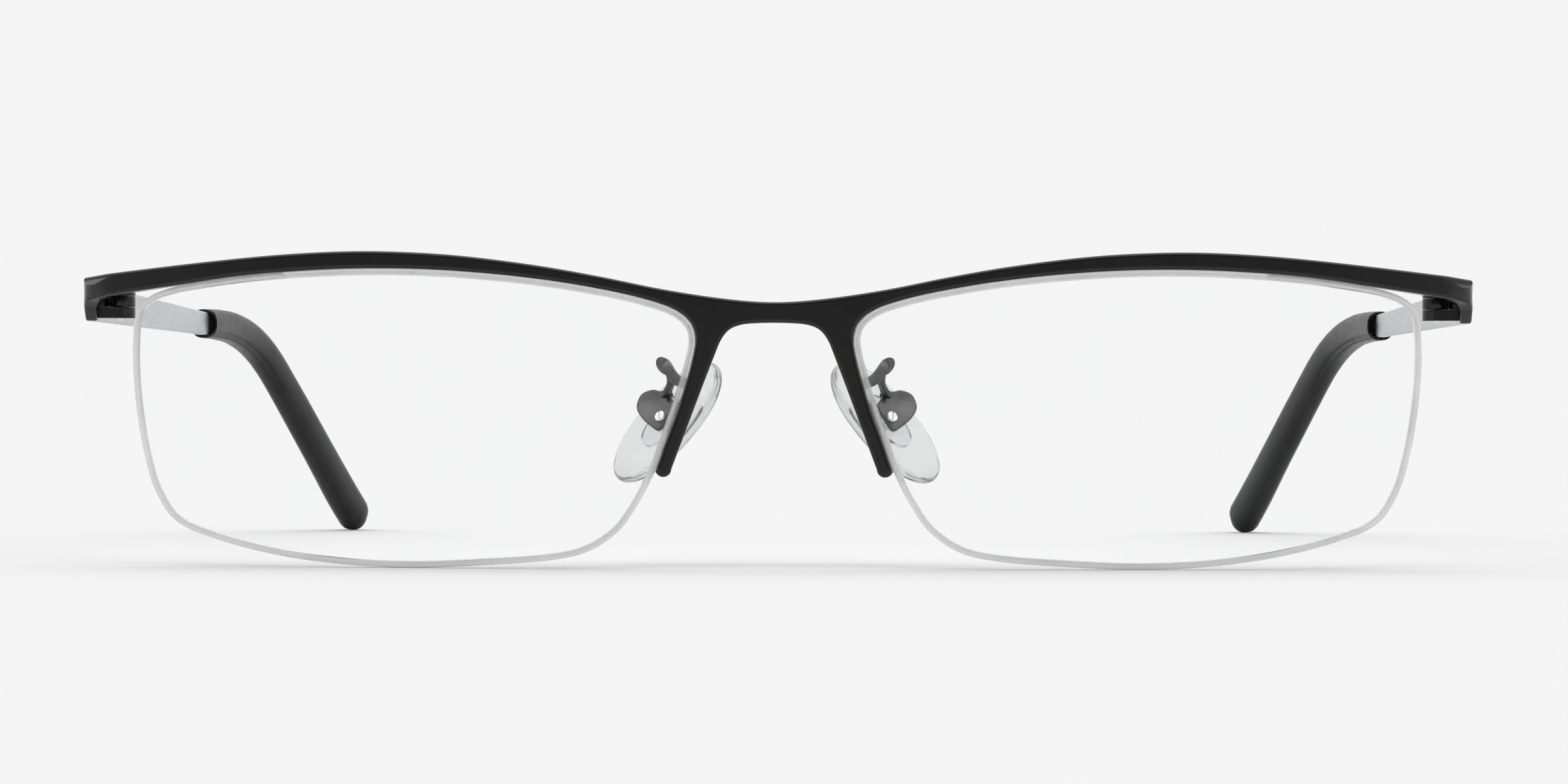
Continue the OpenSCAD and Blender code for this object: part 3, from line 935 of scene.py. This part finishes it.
# How the surround brightens overhead and dims behind the camera: where on the unit sphere the
# change starts and ends, and how much it comes to
OVERHEAD = (0.35, 0.95, 1.0)
BEHIND_CAMERA = (-0.4, -0.9, 0.85)
# The camera looks level, from a place turned round a point in the front's middle
CAMERA_AWAY = 480
CAMERA_UP = 17.27
CAMERA_SIDE = 0.95
CAMERA_PIVOT_Y = 0.5
CAMERA_TURN = math.radians(1.2)
CAMERA_ROLL = math.radians(0.136)
CAMERA_LENS = 112.8


def make_camera():
    data = bpy.data.cameras.new("camera")
    data.lens = CAMERA_LENS
    data.sensor_width = 36
    data.clip_start = 0.01
    data.clip_end = 100
    camera = bpy.data.objects.new("camera", data)
    bpy.context.scene.collection.objects.link(camera)
    c, s = math.cos(CAMERA_TURN), math.sin(CAMERA_TURN)
    x = CAMERA_SIDE * c + CAMERA_AWAY * s
    y = CAMERA_SIDE * s - CAMERA_AWAY * c + CAMERA_PIVOT_Y
    camera.location = place(x, y, CAMERA_UP)
    aim = Matrix.Rotation(CAMERA_TURN, 4, "Z") @ Matrix.Rotation(math.pi / 2, 4, "X")
    camera.rotation_euler = (aim @ Matrix.Rotation(CAMERA_ROLL, 4, "Z")).to_euler()
    bpy.context.scene.camera = camera


def make_floor():
    mesh = bpy.data.meshes.new("floor")
    h = FLOOR_HALF
    mesh.from_pydata([(-h, -h, 0), (h, -h, 0), (h, h, 0), (-h, h, 0)], [], [(0, 1, 2, 3)])
    material = bpy.data.materials.new("floor_paper")
    material.use_nodes = True
    shader = material.node_tree.nodes["Principled BSDF"]
    shader.inputs["Base Color"].default_value = (*grey(FLOOR_GREY), 1)
    shader.inputs["Roughness"].default_value = 1.0
    shader.inputs["Specular IOR Level"].default_value = 0.0
    mesh.materials.append(material)
    floor = bpy.data.objects.new("floor", mesh)
    bpy.context.scene.collection.objects.link(floor)


def make_light():
    """A soft white surround, brighter overhead and dimmer from behind the camera. Seen directly
    or through clear material it has one plain brightness."""
    world = bpy.data.worlds.new("studio")
    bpy.context.scene.world = world
    world.use_nodes = True
    tree = world.node_tree
    shader = tree.nodes["Background"]

    def node(kind, **values):
        made = tree.nodes.new(kind)
        for key, value in values.items():
            setattr(made, key, value)
        return made

    def ramp(source, start, end, most):
        mapped = node("ShaderNodeMapRange", interpolation_type="SMOOTHSTEP")
        mapped.inputs["From Min"].default_value = start
        mapped.inputs["From Max"].default_value = end
        mapped.inputs["To Min"].default_value = 0
        mapped.inputs["To Max"].default_value = most
        tree.links.new(source, mapped.inputs["Value"])
        return mapped.outputs["Result"]

    def maths(operation, first, second):
        made = node("ShaderNodeMath", operation=operation)
        for socket, value in zip(made.inputs, (first, second)):
            if hasattr(value, "links"):
                tree.links.new(value, socket)
            else:
                socket.default_value = value
        return made.outputs[0]

    way = node("ShaderNodeSeparateXYZ")
    tree.links.new(node("ShaderNodeTexCoord").outputs["Generated"], way.inputs[0])
    top = ramp(way.outputs["Z"], *OVERHEAD)
    near = ramp(way.outputs["Y"], *BEHIND_CAMERA)
    lit = maths("SUBTRACT", maths("ADD", BACKDROP, top), near)
    path = node("ShaderNodeLightPath")
    shown = maths("MAXIMUM", path.outputs["Is Camera Ray"], path.outputs["Is Transmission Ray"])
    strength = node("ShaderNodeMix")
    tree.links.new(shown, strength.inputs[0])
    tree.links.new(lit, strength.inputs[2])
    strength.inputs[3].default_value = BACKDROP
    tree.links.new(strength.outputs[0], shader.inputs["Strength"])
    shader.inputs["Color"].default_value = (1, 1, 1, 1)


def make_studio():
    make_camera()
    make_floor()
    make_light()
    bpy.context.scene.view_settings.view_transform = "Standard"


# ---- The glasses ----
def metal_finishes():
    return {
        # The two black finishes get a lighter, warmer colour along their edges: a painted
        # highlight.
        "black": painted_metal("satin_black", dark=(0.005, 0.0042, 0.004),
                               light=(0.008, 0.0068, 0.0064), edge_highlight=(0.03, 0.021, 0.017),
                               rough=0.35, shine=0.12),
        "hinge": painted_metal("hinge_black", dark=grey(0.003), light=grey(0.006),
                               edge_highlight=grey(0.02), rough=0.3, shine=0.12),
        "arm": brushed_metal("arm_grey", dark=grey(0.09), light=grey(0.14), rough=0.36,
                             stretch=(1, 1, 4)),
        "silver": brushed_metal("screw_silver", dark=grey(0.6), light=grey(0.8), rough=0.25,
                                stretch=(3, 1, 1)),
        "temple": brushed_metal("brushed_temple", dark=(0.5, 0.505, 0.515),
                                light=(0.62, 0.625, 0.635), rough=0.42, stretch=(1, 30, 1)),
    }


def plastic_finishes():
    return {
        "acetate": moulded_plastic("tip_black", dark=(0.004, 0.0042, 0.0048),
                                   light=(0.008, 0.0083, 0.0092), rough=0.34, shine=0.2),
        "lens": clear("lens_glass", dark=(0.985, 0.99, 0.99), light=(1, 1, 1),
                      rough=(0.0, 0.02), ior=1.12, bump_size=12, bump_depth=0.0005),
        "lens_edge": clear("lens_edge", dark=grey(0.93), light=grey(0.98), rough=(0.3, 0.4),
                           ior=1.03, bump_size=0.6, bump_depth=0.002, through=0.85),
        "liner": clear("liner_clear", dark=grey(0.93), light=grey(0.98), rough=(0.3, 0.4),
                       ior=1.06, bump_size=1.5, bump_depth=0.002, through=0.6),
        "nylon": clear("nylon_clear", dark=grey(0.91), light=grey(0.96), rough=(0.3, 0.4),
                       ior=1.1, bump_size=1.5, bump_depth=0.002, through=0.5),
        "silicone": clear("pad_silicone", dark=(0.8, 0.82, 0.82), light=(0.88, 0.895, 0.895),
                          rough=(0.03, 0.09), ior=1.34, bump_size=2.5, bump_depth=0.012,
                          through=0.92),
        "core": clear("core_clear", dark=(0.84, 0.86, 0.86), light=(0.92, 0.93, 0.93),
                      rough=(0.03, 0.08), ior=1.42, bump_size=1.5, bump_depth=0.01),
    }


def make_glasses():
    metal = metal_finishes()
    plastic = plastic_finishes()
    make_front(metal["black"])
    for side, name in ((1, "left"), (-1, "right")):
        make_liner(side, name, plastic["liner"])
        make_lens(side, name, plastic["lens"], plastic["lens_edge"])
        make_cord(side, name, plastic["nylon"])
        make_pad_arm(side, name, metal["arm"])
        make_pad_screw(side, name, metal["silver"])
        make_pad_core(side, name, plastic["core"])
        make_nose_pad(side, name, plastic["silicone"])
        make_temple(side, name, metal["temple"])
        make_tip(side, name, plastic["acetate"])
        soften(f"{name}_front_hinge", metal["hinge"])
        soften(f"{name}_temple_hinge", metal["hinge"])
        soften(f"{name}_hinge_screw", metal["silver"], 0.06)


make_studio()
make_glasses()
